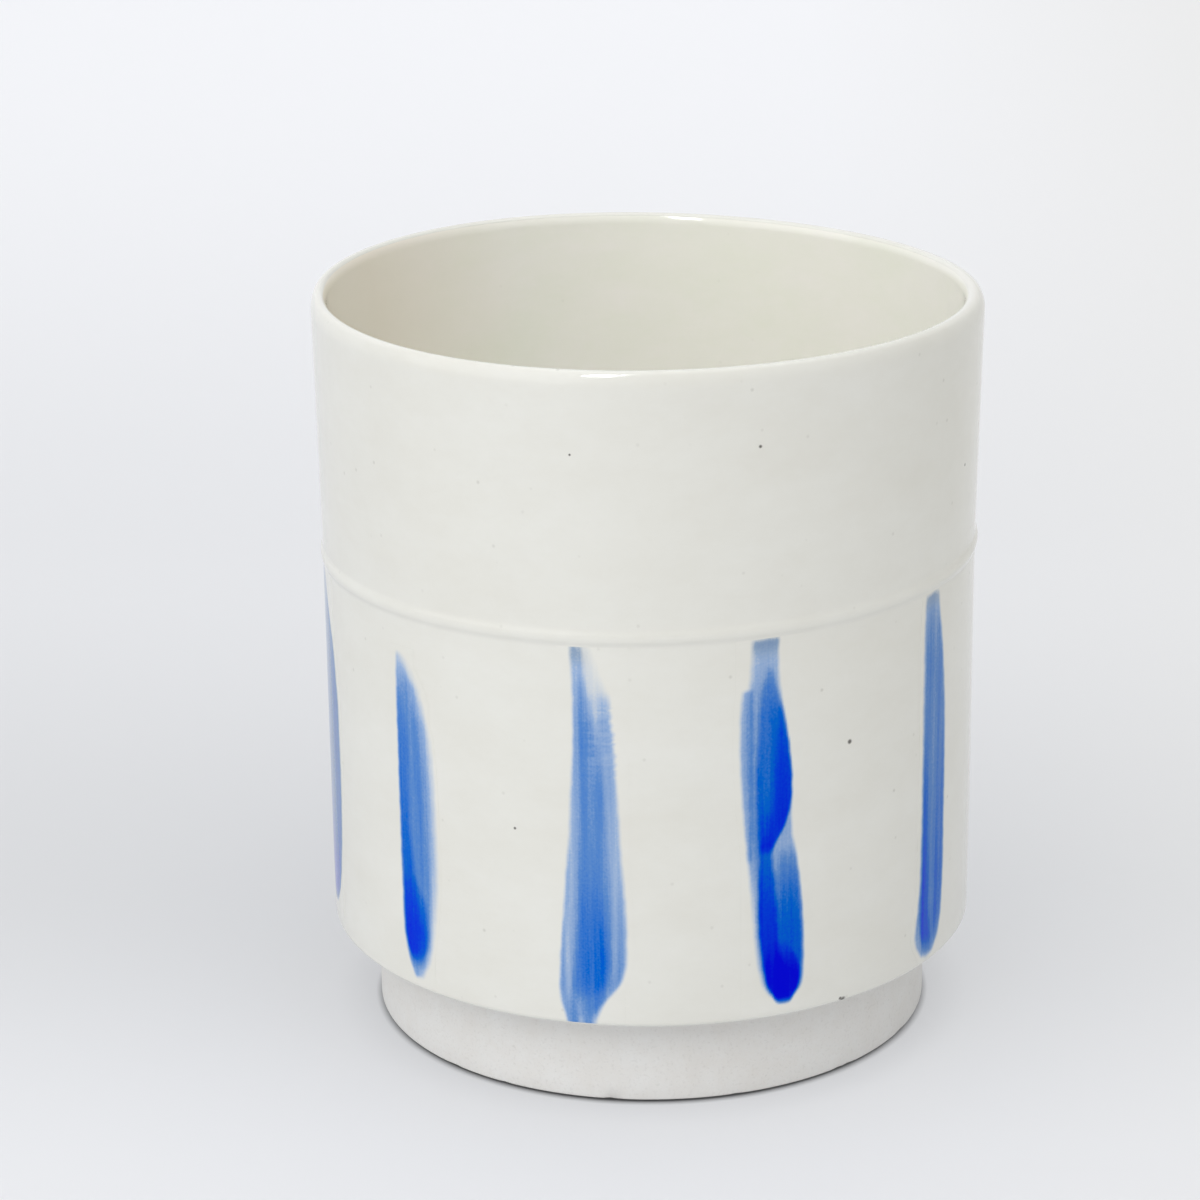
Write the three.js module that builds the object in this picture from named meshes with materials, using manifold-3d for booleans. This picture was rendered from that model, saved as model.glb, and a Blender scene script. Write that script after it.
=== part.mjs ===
// A handleless stacking mug: a thrown and trimmed clay body, a glaze coat inside, a glaze coat outside
// and a ring of upright cobalt brush strokes set flush in the outside coat.
// Millimetres, +Z up. The origin is on the table under the middle of the foot, and the front faces -Y.

import * as THREE from 'three';
import { mergeVertices } from 'three/addons/utils/BufferGeometryUtils.js';
import Module from 'manifold-3d';

// Clay body, with heights from the table
const CLAY_HEIGHT = 90;        // crest of the lip
const BODY_RADIUS = 39;        // outside of the wall from the ledge to the bead
const RIM_FLARE = 0.5;         // how far the wall leans out from the bead to the lip
const LIP_THICKNESS = 1.7;     // wall at its full-round lip
const WALL_THICKNESS = 2.8;    // wall where it runs into the floor
const FLOOR_THICKNESS = 5.5;   // floor above the hollow of the foot
const BOTTOM_ROUND = 14;       // inside curve from the wall to the floor
const BEAD_HEIGHT = 59.7;      // middle of the raised bead
const BEAD_WIDTH = 1.8;        // bead from its lower to its upper edge
const BEAD_RELIEF = 0.25;      // how far the bead stands out of the wall
const LEDGE_HEIGHT = 12.2;     // underside of the ledge, which sits on the lip of the mug below in a stack
const LEDGE_ROUND = 0.3;       // outer corner of the ledge
const FOOT_INSET = 4.9;        // width of the ledge from the wall to the foot
const FOOT_EDGE = 0.5;         // bevels of the foot ring on the table
const FOOT_RING = 6;           // width of the foot ring
const RECESS_DEPTH = 5.5;      // trimmed hollow inside the foot ring
const RECESS_ROUND = 2;        // corner of that hollow

// Glaze coats
const GLAZE_THICKNESS = 0.4;
const GLAZE_GAP = 0.1;         // between the clay and a coat
const LIP_SEAM = 0.3;          // between the two coats on the crest of the lip

// Brush strokes, laid between the bead and the ledge
const BRUSH_WIDTH = 5;         // a loaded brush, by which the strokes are measured
const STROKE_CLEARANCE = 0.3;  // between a stroke and the glaze round it

// Each stroke's middle is at an azimuth in degrees, turning right from the front. The rest are shares of
// the brush's width. A stroke starts a drop below the bead and ends a rise above the ledge. Head, belly and
// toe are its widths at the top, halfway and at the round bottom end. Its head and toe lie headX and toeX
// to the right of its middle.
const STROKES = [
  { azimuth: -76, drop: 0.08, rise: 0.56, head: 0.4, headX: -0.52, belly: 1.8, toe: 0.6, toeX: -0.32 },
  { azimuth: -43.4, drop: 1, rise: 0.36, head: 0.32, headX: -0.36, belly: 1.08, toe: 0.72, toeX: -0.06 },
  { azimuth: -9.5, drop: 0.08, rise: 0.16, head: 0.52, headX: -0.24, belly: 1.32, toe: 1.24, toeX: -0.16 },
  { azimuth: 20.3, drop: 0.08, rise: 0.36, head: 0.6, headX: -0.1, belly: 1.28, toe: 0.88, toeX: 0.34 },
  { azimuth: 58.3, drop: 0.08, rise: 0.2, head: 0.54, headX: -0.18, belly: 1.08, toe: 0.68, toeX: -0.22 },
  { azimuth: 91, drop: 0.24, rise: 0.32, head: 0.48, headX: 0.16, belly: 1.12, toe: 0.8, toeX: 0.08 },
  { azimuth: 122, drop: 0.08, rise: 0.24, head: 0.6, headX: -0.12, belly: 1.28, toe: 1, toeX: 0.12 },
  { azimuth: 156, drop: 0.64, rise: 0.4, head: 0.36, headX: 0.24, belly: 1.04, toe: 0.72, toeX: -0.08 },
  { azimuth: 187, drop: 0.12, rise: 0.18, head: 0.56, headX: -0.08, belly: 1.24, toe: 1.08, toeX: 0.16 },
  { azimuth: 220, drop: 0.08, rise: 0.48, head: 0.44, headX: 0.12, belly: 1, toe: 0.76, toeX: 0.04 },
  { azimuth: 252, drop: 0.36, rise: 0.28, head: 0.52, headX: -0.2, belly: 1.2, toe: 0.84, toeX: -0.12 },
];

// Fineness of the round surfaces
const TURN_STEPS = 48;         // round the axis
const CORNER_STEPS = 3;        // small corners of the section
const BEAD_STEPS = 4;          // across the bead
const LIP_STEPS = 4;           // each side of the lip
const BOTTOM_STEPS = 7;        // inside curve from the wall to the floor
const STROKE_STEPS = 5;        // each side of a stroke's outline

// Places that follow from the sizes above
const QUARTER = Math.PI / 2;
const rimRadius = BODY_RADIUS + RIM_FLARE;
const innerRadius = BODY_RADIUS - WALL_THICKNESS;
const footRadius = BODY_RADIUS - FOOT_INSET;
const recessRadius = footRadius - FOOT_RING;
const floorHeight = RECESS_DEPTH + FLOOR_THICKNESS;
const lipRound = LIP_THICKNESS / 2;
const lipCentre = new THREE.Vector2(rimRadius - lipRound, CLAY_HEIGHT - lipRound);
const bottomRound = Math.min(BOTTOM_ROUND, innerRadius);
const recessRound = Math.min(RECESS_ROUND, RECESS_DEPTH - FOOT_EDGE);
const strokeCeiling = BEAD_HEIGHT - BEAD_WIDTH / 2;

const wasm = await Module();
wasm.setup();

// Points of an arc in the section plane, where x is the radius and y the height.
function arc(x, y, radius, from, to, steps) {
  return new THREE.EllipseCurve(x, y, radius, radius, from, to, to < from).getPoints(steps);
}

// Angle on the lip, from level, at which a coat stops short of the seam on the crest.
function lipEnd(radius, offset) {
  return offset > 0 ? Math.acos(LIP_SEAM / 2 / radius) : QUARTER;
}

// Outside of the clay from the ledge up to the crest of the lip, or the same surface moved outwards.
function outsideSection(offset) {
  const corner = LEDGE_ROUND + offset;
  const cornerStart = -Math.asin(LEDGE_ROUND / corner);
  const beadRound = (BEAD_WIDTH ** 2 / 4 + BEAD_RELIEF ** 2) / (2 * BEAD_RELIEF);
  const beadCentre = BODY_RADIUS + BEAD_RELIEF - beadRound;
  const beadHalfAngle = Math.asin(BEAD_WIDTH / 2 / beadRound);
  const lip = lipRound + offset;
  return [
    ...arc(BODY_RADIUS - LEDGE_ROUND, LEDGE_HEIGHT + LEDGE_ROUND, corner, cornerStart, 0, CORNER_STEPS),
    ...arc(beadCentre, BEAD_HEIGHT, beadRound + offset, -beadHalfAngle, beadHalfAngle, BEAD_STEPS),
    ...arc(lipCentre.x, lipCentre.y, lip, 0, lipEnd(lip, offset), LIP_STEPS),
  ];
}

// Inside of the clay from the crest of the lip down to the middle of the floor, or moved inwards.
function insideSection(offset) {
  const lip = lipRound + offset;
  const bottomX = innerRadius - bottomRound;
  const bottomY = floorHeight + bottomRound;
  return [
    ...arc(lipCentre.x, lipCentre.y, lip, Math.PI - lipEnd(lip, offset), Math.PI, LIP_STEPS),
    ...arc(bottomX, bottomY, bottomRound - offset, 0, -QUARTER, BOTTOM_STEPS),
    new THREE.Vector2(0, floorHeight + offset),
  ];
}

// Underside of the clay from the middle of the hollow over the foot ring to the ledge.
function undersideSection() {
  return [
    new THREE.Vector2(0, RECESS_DEPTH),
    ...arc(recessRadius - recessRound, RECESS_DEPTH - recessRound, recessRound, QUARTER, 0, CORNER_STEPS),
    new THREE.Vector2(recessRadius, FOOT_EDGE),
    new THREE.Vector2(recessRadius + FOOT_EDGE, 0),
    new THREE.Vector2(footRadius - FOOT_EDGE, 0),
    new THREE.Vector2(footRadius, FOOT_EDGE),
    new THREE.Vector2(footRadius, LEDGE_HEIGHT),
  ];
}

// Turn a section about the upright axis.
function turned(section) {
  return new THREE.LatheGeometry(section, TURN_STEPS).rotateX(QUARTER);
}

// The near and far faces of a coat laid on a section of the clay.
function coatFaces(section) {
  return { near: section(GLAZE_GAP), far: section(GLAZE_GAP + GLAZE_THICKNESS) };
}

function clayBody() {
  return turned([...undersideSection(), ...outsideSection(0), ...insideSection(0)]);
}

function linerGlaze() {
  const { near, far } = coatFaces(insideSection);
  return turned([...near.reverse(), ...far]);
}

function outerCoat() {
  const { near, far } = coatFaces(outsideSection);
  return turned([...far, ...near.reverse(), far[0]]);
}

// A stroke with its shares of the brush's width turned into lengths.
function inLengths({ azimuth, ...shares }) {
  const lengths = Object.entries(shares).map(([name, share]) => [name, share * BRUSH_WIDTH]);
  return { azimuth, ...Object.fromEntries(lengths) };
}

// One side of a stroke's outline, from the head down to the toe or back up, bowed to touch the belly.
// A cubic curve moves three quarters as far halfway along as both of its handles do.
function addSide(shape, from, to, belly) {
  const bow = (belly - (from.x + to.x) / 2) * 4 / 3;
  const third = (to.y - from.y) / 3;
  shape.bezierCurveTo(from.x + bow, from.y + third, to.x + bow, to.y - third, to.x, to.y);
}

// Outline of a stroke as seen from outside, with its middle at x = 0, grown by a margin all round.
function strokeShape(stroke, margin) {
  const halfHead = stroke.head / 2 + margin;
  const halfBelly = stroke.belly / 2 + margin;
  const halfToe = stroke.toe / 2 + margin;
  const headY = strokeCeiling - stroke.drop + margin;
  const toeY = LEDGE_HEIGHT + stroke.rise + stroke.toe / 2;
  const headLeft = new THREE.Vector2(stroke.headX - halfHead, headY);
  const headRight = new THREE.Vector2(stroke.headX + halfHead, headY);
  const toeLeft = new THREE.Vector2(stroke.toeX - halfToe, toeY);
  const toeRight = new THREE.Vector2(stroke.toeX + halfToe, toeY);
  const shape = new THREE.Shape();
  shape.moveTo(headLeft.x, headLeft.y);
  addSide(shape, headLeft, toeLeft, -halfBelly);
  shape.absarc(stroke.toeX, toeY, halfToe, Math.PI, 2 * Math.PI, false);
  addSide(shape, toeRight, headRight, halfBelly);
  shape.closePath();
  return shape;
}

// A prism that carries a stroke's outline straight out through the wall.
function strokePrism(stroke, margin) {
  const options = { depth: BODY_RADIUS, bevelEnabled: false, curveSegments: STROKE_STEPS };
  const prism = new THREE.ExtrudeGeometry(strokeShape(stroke, margin), options);
  prism.translate(0, 0, BODY_RADIUS / 2);
  prism.rotateX(QUARTER);
  prism.rotateZ(THREE.MathUtils.degToRad(stroke.azimuth));
  return prism;
}

// A closed solid for cutting, from a geometry reduced to its welded positions.
function toSolid(geometry) {
  geometry.deleteAttribute('normal');
  geometry.deleteAttribute('uv');
  const welded = mergeVertices(geometry);
  const vertProperties = welded.attributes.position.array;
  const triVerts = new Uint32Array(welded.index.array);
  return new wasm.Manifold(new wasm.Mesh({ numProp: 3, vertProperties, triVerts }));
}

function toGeometry(solid) {
  const { vertProperties, triVerts } = solid.getMesh();
  const geometry = new THREE.BufferGeometry();
  geometry.setAttribute('position', new THREE.BufferAttribute(vertProperties, 3));
  geometry.setIndex(new THREE.BufferAttribute(triVerts, 1));
  geometry.computeVertexNormals();
  return geometry;
}

function addPiece(name, geometry, color, roughness) {
  const material = new THREE.MeshStandardMaterial({ color, roughness, metalness: 0 });
  const mesh = new THREE.Mesh(geometry, material);
  mesh.name = name;
  mug.add(mesh);
}

const mug = new THREE.Group();
addPiece('clay_body', clayBody(), 0xdcdad6, 0.9);
addPiece('liner_glaze', linerGlaze(), 0xe9e7da, 0.2);

// Each stroke is a piece of the coat itself, and the coat is left open round it by the clearance.
const coat = toSolid(outerCoat());
let openCoat = coat;
STROKES.map(inLengths).forEach((stroke, index) => {
  const name = `brush_stroke_${String(index + 1).padStart(2, '0')}`;
  const pigment = coat.intersect(toSolid(strokePrism(stroke, 0)));
  addPiece(name, toGeometry(pigment), 0x2f62d6, 0.2);
  openCoat = openCoat.subtract(toSolid(strokePrism(stroke, STROKE_CLEARANCE)));
});
addPiece('outer_glaze', toGeometry(openCoat), 0xefeee8, 0.2);

export default mug;
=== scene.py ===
import math

import bmesh
import bpy
import numpy as np
from bpy.props import FloatProperty, FloatVectorProperty, PointerProperty
from mathutils import Matrix, Vector


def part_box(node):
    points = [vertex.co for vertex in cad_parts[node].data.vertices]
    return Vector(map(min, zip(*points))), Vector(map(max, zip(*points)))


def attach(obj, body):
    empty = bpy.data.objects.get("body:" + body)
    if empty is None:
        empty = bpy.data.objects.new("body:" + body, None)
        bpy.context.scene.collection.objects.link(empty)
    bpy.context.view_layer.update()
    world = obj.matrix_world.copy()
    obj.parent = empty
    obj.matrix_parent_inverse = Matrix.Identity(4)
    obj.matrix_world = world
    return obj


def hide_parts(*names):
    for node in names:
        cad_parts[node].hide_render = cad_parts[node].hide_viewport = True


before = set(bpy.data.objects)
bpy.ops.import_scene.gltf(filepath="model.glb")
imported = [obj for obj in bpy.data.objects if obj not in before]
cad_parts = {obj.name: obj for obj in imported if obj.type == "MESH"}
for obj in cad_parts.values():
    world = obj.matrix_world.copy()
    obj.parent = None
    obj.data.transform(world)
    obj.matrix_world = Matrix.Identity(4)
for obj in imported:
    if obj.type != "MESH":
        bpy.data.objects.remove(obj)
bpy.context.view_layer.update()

bl_info = {
    "name": "Handleless stacking mug",
    "version": (1, 0, 0),
    "blender": (4, 5, 0),
    "location": "3D View > Sidebar > Mug",
    "description": "Turns a glazed mug with cobalt brush strokes on its packed CAD frame",
    "category": "Object",
}

MM = 0.001
LINER_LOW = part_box("liner_glaze")[0]
COAT_LOW, COAT_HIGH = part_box("outer_glaze")

# Fineness of the meshes
TURN_STEPS = 256
LONGEST_EDGE = 1.6 * MM
STROKE_CELL = 0.25 * MM
STROKE_COLUMNS = 40
SHARP_ANGLE = math.radians(38)
JOIN_DISTANCE = 1e-7

# Small corners: the fillet under the ledge, how much tighter clay turns than coat, the coat's flat edge
LEDGE_FILLET = 0.4 * MM
TIGHTER_CLAY = 0.2 * MM
COAT_EDGE = 0.3 * MM
# How far each coat laps over the crest of the lip, in degrees from its own side
LINER_LAP = 60
OUTER_LAP = 140

# Inputs of a node that mixes two colours
FACTOR, FIRST, SECOND = 0, 6, 7


def linear(code):
    """Turn an sRGB hex colour into linear red, green and blue"""
    shares = [int(code[i:i + 2], 16) / 255 for i in (0, 2, 4)]
    return [s / 12.92 if s <= 0.04045 else ((s + 0.055) / 1.055) ** 2.4 for s in shares]


def length(name, description, default):
    """A size in metres"""
    return FloatProperty(name=name, description=description, default=default, unit="LENGTH", precision=5)


def colour(name, description, code):
    """A colour, given as sRGB hex"""
    return FloatVectorProperty(name=name, description=description, default=linear(code), subtype="COLOR",
                               min=0, max=1)


def share(name, description, default):
    """A share from nothing to one"""
    return FloatProperty(name=name, description=description, default=default, min=0, max=1, subtype="FACTOR")


def angle(name, description, degrees):
    """An angle, given in degrees"""
    return FloatProperty(name=name, description=description, default=math.radians(degrees), subtype="ANGLE")


def power(name, description, default):
    """Power of a light in watts"""
    return FloatProperty(name=name, description=description, default=default, min=0, unit="POWER")


class MugForm(bpy.types.PropertyGroup):
    """Sizes of the mug"""
    height: length("Height", "Crest of the glazed lip above the table", COAT_HIGH.z)
    rim_radius: length("Rim radius", "Outside of the glazed lip", COAT_HIGH.x)
    wall_radius: length("Wall radius", "Outside of the glazed wall below the bead", 39.5 * MM)
    lip_round: length("Lip round", "Radius of the glazed lip over its crest", 0.85 * MM)
    lip_shoulder: length("Lip shoulder", "Radius of the soft shoulder outside the lip", 3 * MM)
    shoulder_turn: angle("Shoulder turn", "How far the shoulder leans in before the lip rounds over", 30)
    throat_round: length("Throat round", "Radius of the soft roll from the lip into the inside", 1.8 * MM)
    throat_turn: angle("Throat turn", "How steeply the lip rounds over before it rolls into the inside", 32)
    mouth_shift: length("Mouth shift", "How far the mouth was opened off the middle, to the left", 0.25 * MM)
    inner_radius: length("Inner radius", "Inside of the glazed wall where it meets the floor", 35.7 * MM)
    bottom_round: length("Bottom round", "Inside curve from the wall to the floor", 13.5 * MM)
    floor_height: length("Floor height", "Glazed floor of the inside above the table", LINER_LOW.z + 0.4 * MM)
    bead_height: length("Bead height", "Middle of the raised bead above the table", 59.7 * MM)
    bead_width: length("Bead width", "Bead from its lower to its upper edge", 2.5 * MM)
    bead_relief: length("Bead relief", "How far the bead stands out of the wall", 0.28 * MM)
    ledge_height: length("Ledge height", "Underside of the stacking ledge above the table", COAT_LOW.z)
    ledge_round: length("Ledge round", "Glazed corner over the ledge", 0.7 * MM)
    foot_radius: length("Foot radius", "Outside of the bare foot ring", 34.1 * MM)
    foot_ring: length("Foot ring", "Width of the foot ring", 6 * MM)
    foot_edge: length("Foot edge", "Worn edges of the foot ring", 0.3 * MM)
    foot_gap: length("Foot gap", "How far the outer edge of the foot stands off the table", 0.3 * MM)
    foot_contact: length("Foot contact", "From the outside of the foot to where it meets the table", 3 * MM)
    recess_depth: length("Recess depth", "Hollow inside the foot ring", 5.5 * MM)
    recess_round: length("Recess round", "Corner of the hollow inside the foot ring", 2 * MM)
    glaze: length("Glaze thickness", "Thickness of both glaze coats", 0.46 * MM)
    film: length("Pigment film", "How far a brush stroke lies over the coat", 0.02 * MM)
    bead_tilt: length("Bead tilt", "How far the hand-held tool let the bead rise to the right", 0.657 * MM)
    rim_wave: length("Rim wave", "How far the soft rim rose and fell twice round", 0.272 * MM)
    rim_tilt: length("Rim tilt", "How far the rim was cut out of level", 0.289 * MM)
    out_of_round: length("Out of round", "How far the wall swings in and out of a true circle", 0.1 * MM)


class MugFinish(bpy.types.PropertyGroup):
    """Colours and gloss of the mug"""
    glaze: colour("Glaze", "Off-white outside coat", "E7E7E1")
    glaze_shade: colour("Glaze shade", "Thinner patches of the outside coat", "E1E0D8")
    liner: colour("Liner", "Creamy inside coat", "F4F2ED")
    liner_shade: colour("Liner shade", "Thicker patches of the inside coat", "EDEFE3")
    # painted warm shade: a darker, warmer patch on the left of the inside, where the wall is turned from the
    # key light
    liner_warm_shade: colour("Toasted", "Patches of the inside coat warmed by the flame", "EFE6D6")
    pore: colour("Pore", "Pinholes in the coats", "A9A79E")
    iron: colour("Iron", "Specks of iron burnt through the coat", "4B4742")
    clay: colour("Clay", "Bare fired clay", "E7E7E5")
    clay_shade: colour("Clay shade", "Darker patches of the bare clay", "DFDCD7")
    grit: colour("Grit", "Grains of sand in the bare clay", "A9A6A0")
    cobalt_pale: colour("Pale cobalt", "Cobalt let down with much water", "A3BADA")
    cobalt_mid: colour("Middle cobalt", "Cobalt as the brush spread it", "5D8CCC")
    cobalt_full: colour("Full cobalt", "Cobalt where the brush pressed", "0066CE")
    cobalt_thick: colour("Thick cobalt", "Cobalt in a heavy pass", "003ADA")
    cobalt_deep: colour("Deep cobalt", "Cobalt where it pooled", "0004DA")
    # grey mixed into the cobalt: painted shade on the first stroke, and grey heads under the bead
    cobalt_grey: colour("Grey cobalt", "Cobalt dulled by the clay where the coat is thin", "6A7C85")
    glaze_roughness: share("Glaze roughness", "Gloss of the coats", 0.055)
    clay_roughness: share("Clay roughness", "Gloss of the bare clay", 0.85)


class MugStage(bpy.types.PropertyGroup):
    """Camera, light and floor"""
    camera_distance: length("Camera distance", "From the axis of the mug to the camera", 416.02 * MM)
    camera_height: length("Camera height", "Camera above the table", 191.16 * MM)
    camera_pitch: angle("Camera pitch", "How far the camera looks down", 18.614)
    camera_yaw: angle("Camera yaw", "How far the camera turns left", 0.825)
    camera_roll: angle("Camera roll", "How far the camera leans", -0.645)
    lens: FloatProperty(name="Lens", description="Focal length of the camera", default=107.755, min=1,
                        unit="CAMERA")
    floor: colour("Floor", "Paper far behind the mug", "B7B8BB")
    # painted shade on the paper round the mug
    floor_shade: colour("Floor shade", "Paper round the mug", "A1A2A4")
    # painted warm shade: the paper is darker and warmer to the right
    floor_warm_shade: colour("Floor warm", "Paper on the right, toward a warmer room", "ADADAC")
    # painted light: the paper glows by itself, though it is no lamp
    floor_glow: FloatProperty(name="Floor glow", description="Light that shines up through the paper",
                              default=0.93, min=0)
    sky: colour("Sky", "Soft light from all round", "FCFBF9")
    sky_strength: FloatProperty(name="Sky strength", description="Strength of the light from all round",
                                default=0.51, min=0)
    key_power: power("Key power", "Large soft light on the left", 2.8)
    fill_power: power("Fill power", "Large soft light in front", 3.3)
    top_power: power("Top power", "Large soft light overhead", 1.3)
    back_power: power("Back power", "Light on the paper behind the mug", 1.0)
    window_power: power("Window power", "Bright window that only draws the highlights of the lip", 3)
    paper_power: power("Paper power", "Soft light overhead that falls on the paper alone", 4.0)


def fill_inputs(tree, node, inputs):
    """Fill inputs of a node with values, or with links from sockets or the first used output of nodes"""
    for name, value in inputs.items():
        if isinstance(value, bpy.types.Node):
            value = next(output for output in value.outputs if output.enabled)
        if isinstance(value, bpy.types.NodeSocket):
            tree.links.new(value, node.inputs[name])
        else:
            node.inputs[name].default_value = value


def add_node(tree, kind, inputs=None, stops=None, **settings):
    """Add a node, of colours if it mixes, set it up and fill its inputs"""
    node = tree.nodes.new("ShaderNode" + kind)
    if kind == "Mix":
        node.data_type = "RGBA"
    for name, value in settings.items():
        setattr(node, name, value)
    fill_inputs(tree, node, inputs or {})
    if stops:
        elements = node.color_ramp.elements
        while len(elements) < len(stops):
            elements.new(1)
        for element, (position, tone) in zip(elements, stops):
            element.position = position
            element.color = (*tone, 1) if hasattr(tone, "__len__") else (tone, tone, tone, 1)
    return node


def new_material(name, roughness):
    """Start a material, and give back the material, its node tree, its shader and the place on the object"""
    material = bpy.data.materials.new(name)
    material.use_nodes = True
    tree = material.node_tree
    tree.nodes.clear()
    shader = add_node(tree, "BsdfPrincipled", {"Roughness": roughness, "IOR": 1.5})
    add_node(tree, "OutputMaterial", {"Surface": shader})
    return material, tree, shader, add_node(tree, "TexCoord").outputs["Object"]


def per_mm(size):
    """Scale of a pattern whose grains are this many millimetres across, on coordinates in metres"""
    return 1 / (size * MM)


def rgba(tone):
    """An opaque colour"""
    return (*tone, 1)


# Chips in the lower edge of the foot: degrees to the right of the front, degrees wide, mm deep
FOOT_CHIPS = (
    (-44, 1.2, 0.08),
    (-31, 0.9, 0.06),
    (-8.5, 0.7, 0.14),
    (-6.5, 0.6, 0.1),
    (17, 1.0, 0.06),
    (41, 1.0, 0.1),
    (44, 0.7, 0.14),
    (63, 1.4, 0.1),
    (118, 1.2, 0.12),
    (-150, 1.0, 0.14),
)
# Where the waves of the rim start, to the right of the front
RIM_WAVE_START = math.radians(4)
RIM_TILT_START = math.radians(-29.5)


def settle(form, points):
    """Move points of the true turned form to where the thrower's hand left them"""
    x, y, z = points.T
    around = np.arctan2(x, -y)
    to_bead = np.clip((z - form.ledge_height) / (form.bead_height - form.ledge_height), 0, 1)
    to_rim = np.clip((z - form.bead_height) / (form.height - form.bead_height), 0, 1)
    bead_wobble = form.out_of_round / 2 * np.sin(5 * around + 1) * np.sin(3 * around)
    bead_lift = form.bead_tilt * np.sin(around) + bead_wobble
    rim_lift = (form.rim_wave * np.sin(2 * around - RIM_WAVE_START)
                - form.rim_tilt * np.sin(around - RIM_TILT_START))
    lift = bead_lift * to_bead * (1 - to_rim) + rim_lift * to_rim
    # two broad swells, and three half as deep that wind slowly up the wall
    swing = np.sin(2 * around + 0.7) + 0.5 * np.sin(3 * around + 2.1 + 25 * z)
    outwards = form.out_of_round * swing * (to_bead + to_rim) / 2
    radius = np.hypot(x, y)
    spread = 1 + outwards / np.maximum(radius, form.foot_radius)
    inwards = np.clip((form.rim_radius - radius) / (2 * form.lip_round), 0, 1)
    to_mouth = np.clip((z - form.floor_height) / (form.height - form.floor_height), 0, 1)
    at_edge = (z < form.foot_gap + form.foot_edge) & (radius > form.foot_radius - form.foot_contact / 2)
    for degrees, width, depth in FOOT_CHIPS:
        lift = lift + at_edge * depth * MM * np.exp(-((np.degrees(around) - degrees) / width) ** 2)
    return np.stack([x * spread - form.mouth_shift * inwards * to_mouth, y * spread, z + lift], axis=1)


def wall_point(form, degrees, height):
    """A point on the outside of the settled wall, at degrees to the right of the front"""
    around = math.radians(degrees)
    radius = form.wall_radius
    if height > form.bead_height:
        leaning = (height - form.bead_height) / (form.height - form.bead_height)
        radius += (form.rim_radius - form.wall_radius) * leaning
    point = np.array([[radius * math.sin(around), -radius * math.cos(around), height]])
    return settle(form, point)[0]


def lip_centres(form):
    """Where the arcs of the shoulder, of the crest and of the roll into the inside turn about, as x and z"""
    turn, throat_turn = form.shoulder_turn, form.throat_turn
    step = form.lip_shoulder - form.lip_round
    shoulder = (form.rim_radius - form.lip_shoulder, form.height - form.lip_round - step * math.sin(turn))
    crest = (shoulder[0] + step * math.cos(turn), form.height - form.lip_round)
    step = form.throat_round - form.lip_round
    throat = (crest[0] + step * math.cos(throat_turn), crest[1] - step * math.sin(throat_turn))
    return shoulder, crest, throat


def draw_section(start, *moves):
    """Draw half a section as a line of edges in the XZ plane: (x, z) draws a straight line there, and
    (x, z, degrees, steps) turns about that centre"""
    bm = bmesh.new()
    tip = bm.verts.new((start[0], 0, start[1]))
    for move in moves:
        if len(move) == 2:
            tip = bmesh.ops.extrude_vert_indiv(bm, verts=[tip])["verts"][0]
            tip.co = (move[0], 0, move[1])
        else:
            x, z, degrees, steps = move
            arc = bmesh.ops.spin(bm, geom=[tip], cent=(x, 0, z), axis=(0, -1, 0), angle=math.radians(degrees),
                                 steps=steps)
            tip = arc["geom_last"][0]
    bmesh.ops.remove_doubles(bm, verts=bm.verts, dist=JOIN_DISTANCE)
    return bm


def finish_piece(context, bm, name, node, material):
    """Make a mesh into a named piece that stands for its CAD node, which it hides, and takes the given
    material
    """
    mesh = bpy.data.meshes.new(name)
    bm.to_mesh(mesh)
    bm.free()
    mesh.shade_smooth()
    mesh.set_sharp_from_angle(angle=SHARP_ANGLE)
    mesh.materials.append(material)
    piece = bpy.data.objects.new(name, mesh)
    context.collection.objects.link(piece)
    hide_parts(node)
    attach(piece, "root")
    return piece


def piece_points(piece):
    """Points of a piece, one to a row"""
    points = np.empty(len(piece.data.vertices) * 3, dtype=np.float32)
    piece.data.vertices.foreach_get("co", points)
    return points.reshape(-1, 3).astype(float)


def settle_piece(form, piece):
    """Move a piece to where the thrower's hand left it"""
    moved = settle(form, piece_points(piece))
    piece.data.vertices.foreach_set("co", moved.astype(np.float32).ravel())
    piece.data.update()


def turn_piece(context, bm, name, node, material):
    """Cut the long lines of a section shorter, turn it about the upright axis into a closed skin, and make a
    settled piece of it"""
    for edge in list(bm.edges):
        cuts = int(edge.calc_length() / LONGEST_EDGE)
        upright = abs(edge.verts[0].co.z - edge.verts[1].co.z) > LONGEST_EDGE
        if cuts and upright:
            bmesh.ops.subdivide_edges(bm, edges=[edge], cuts=cuts)
    bmesh.ops.spin(bm, geom=bm.verts[:] + bm.edges[:], cent=(0, 0, 0), axis=(0, 0, 1), angle=2 * math.pi,
                   steps=TURN_STEPS, use_merge=True)
    bmesh.ops.remove_doubles(bm, verts=bm.verts, dist=JOIN_DISTANCE)
    bmesh.ops.recalc_face_normals(bm, faces=bm.faces)
    piece = finish_piece(context, bm, name, node, material)
    settle_piece(context.scene.mug_form, piece)


# Iron specks on the outside coat: degrees to the right of the front, mm above the table, mm across
IRON_SPECKS = (
    (18.0, 81.4, 0.42),
    (35.3, 44.4, 0.62),
    (68.1, 72.0, 0.4),
    (-23.0, 36.0, 0.36),
    (-12.4, 81.1, 0.3),
    (17.0, 59.4, 0.34),
    (34.5, 12.5, 0.8),
    (33.9, 12.75, 0.45),
    (112.0, 51.0, 0.45),
    (146.0, 77.0, 0.4),
    (171.0, 33.0, 0.55),
    (208.0, 68.5, 0.38),
    (236.0, 24.0, 0.42),
    (-98.0, 82.0, 0.36),
)
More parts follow.
